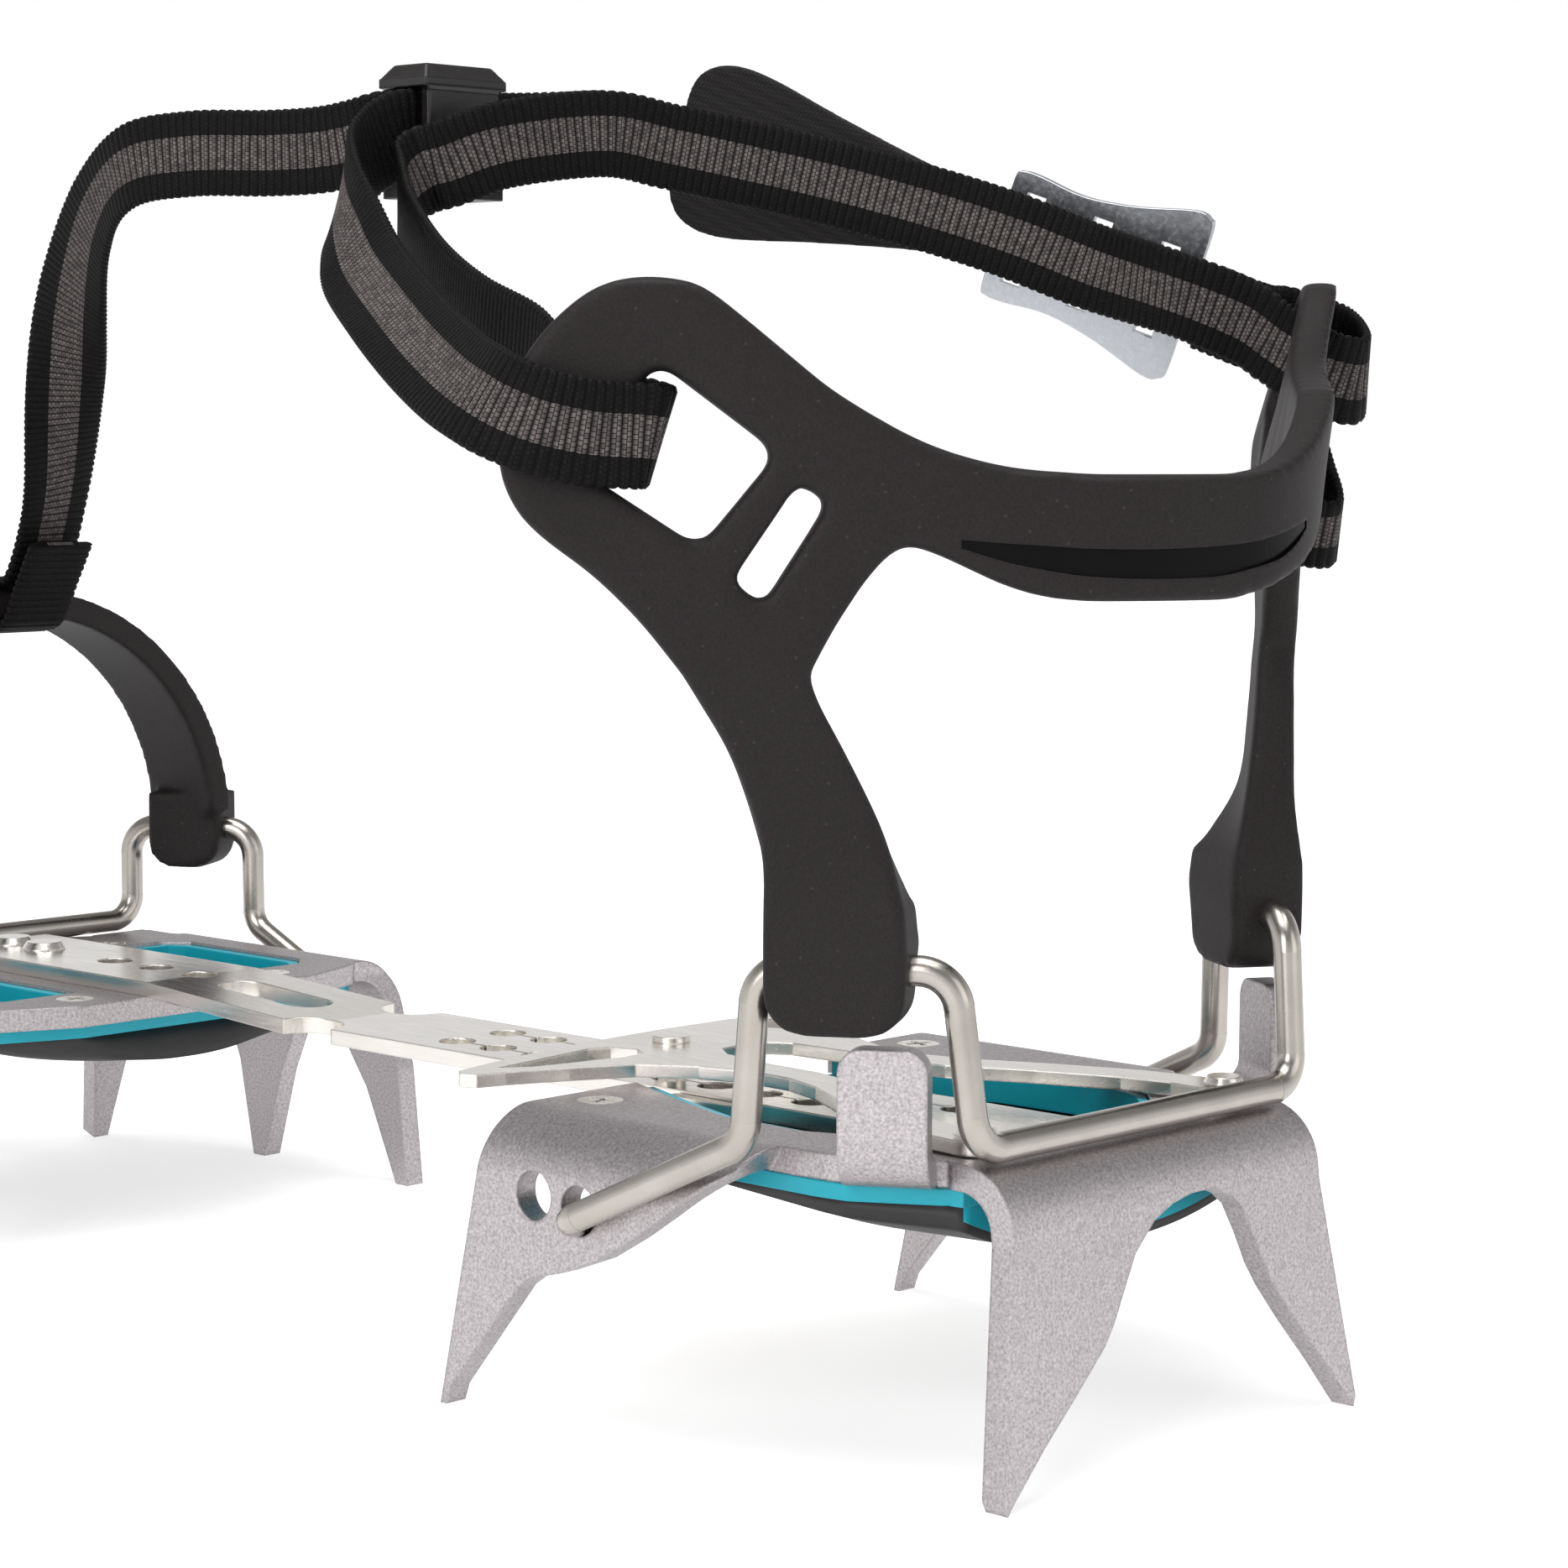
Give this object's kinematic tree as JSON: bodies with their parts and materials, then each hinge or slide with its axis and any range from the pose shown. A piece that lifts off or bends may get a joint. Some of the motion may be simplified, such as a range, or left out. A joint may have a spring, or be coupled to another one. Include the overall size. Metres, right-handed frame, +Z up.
{
  "type": "strap-on crampon",
  "caption": "Steel-pointed crampon with a folded heel plate, front plate, adjustable link bar, wire bails, a soft heel harness and woven ankle and toe straps.",
  "frame": {"origin": "middle of the outer box in plan, on the plane of the point tips", "axes": "+X towards the toe points, +Y to the left, +Z up"},
  "size_m": [0.3207, 0.1676, 0.1856],
  "materials": {
    "bead_blasted_aluminium": "bead-blasted, fine sparkle",
    "nickel_steel": "nickel-plated, bright edges",
    "steel_wire": "drawn and plated, glossy",
    "steel_fittings": "plated",
    "stamped_buckle": "stamped and plated, slightly grained",
    "turquoise_plastic": "moulded, satin gloss",
    "black_rubber": "matte elastomer",
    "black_moulding": "fine matte grain",
    "striped_webbing": "woven, with a grey middle stripe",
    "black_fabric": "fine weave"
  },
  "bodies": {
    "heel": {"heel_plate": "bead_blasted_aluminium", "heel_frame": "turquoise_plastic", "heel_membrane": "black_rubber", "heel_screws": "steel_fittings", "leaf_rivets": "steel_fittings", "bar_guide": "steel_fittings"},
    "leaf": {"lock_leaf": "nickel_steel", "lock_pin": "steel_fittings"},
    "front_unit": {"link_bar": "nickel_steel", "front_plate": "bead_blasted_aluminium", "front_frame": "turquoise_plastic", "front_membrane": "black_rubber", "front_screws": "steel_fittings", "bar_rivets": "steel_fittings", "toe_strap": "striped_webbing"},
    "heel_harness_unit": {"heel_bail": "steel_wire", "heel_harness": "black_moulding", "ankle_strap": "striped_webbing", "buckle_strap": "striped_webbing", "buckle": "stamped_buckle", "buckle_flap": "black_fabric", "strap_slider": "black_moulding"},
    "toe_unit": {"toe_bail": "steel_wire", "toe_basket": "black_moulding"}
  },
  "joints": [
    {"name": "leaf_lift", "type": "hinge", "parent": "heel", "child": "leaf", "pos_m": [-0.13174, 0, 0.0413], "axis": [0, -1, 0], "range_deg": [-0.8, 3], "stiffness_Nm_per_rad": 0.6, "springref_deg": -1.72},
    {"name": "bar_slide", "type": "slide", "parent": "heel", "child": "front_unit", "axis": [1, 0, 0], "range_m": [0, 0.027], "deforming": ["toe_strap"]},
    {"name": "heel_bail_turn", "type": "hinge", "parent": "heel", "child": "heel_harness_unit", "pos_m": [-0.08354, 0, 0.0287], "axis": [0, 1, 0], "range_deg": [0, 35], "deforming": ["toe_strap"]},
    {"name": "toe_bail_turn", "type": "hinge", "parent": "front_unit", "child": "toe_unit", "pos_m": [0.08046, 0, 0.0297], "axis": [0, -1, 0], "range_deg": [0, 12], "deforming": ["toe_strap"]}
  ]
}
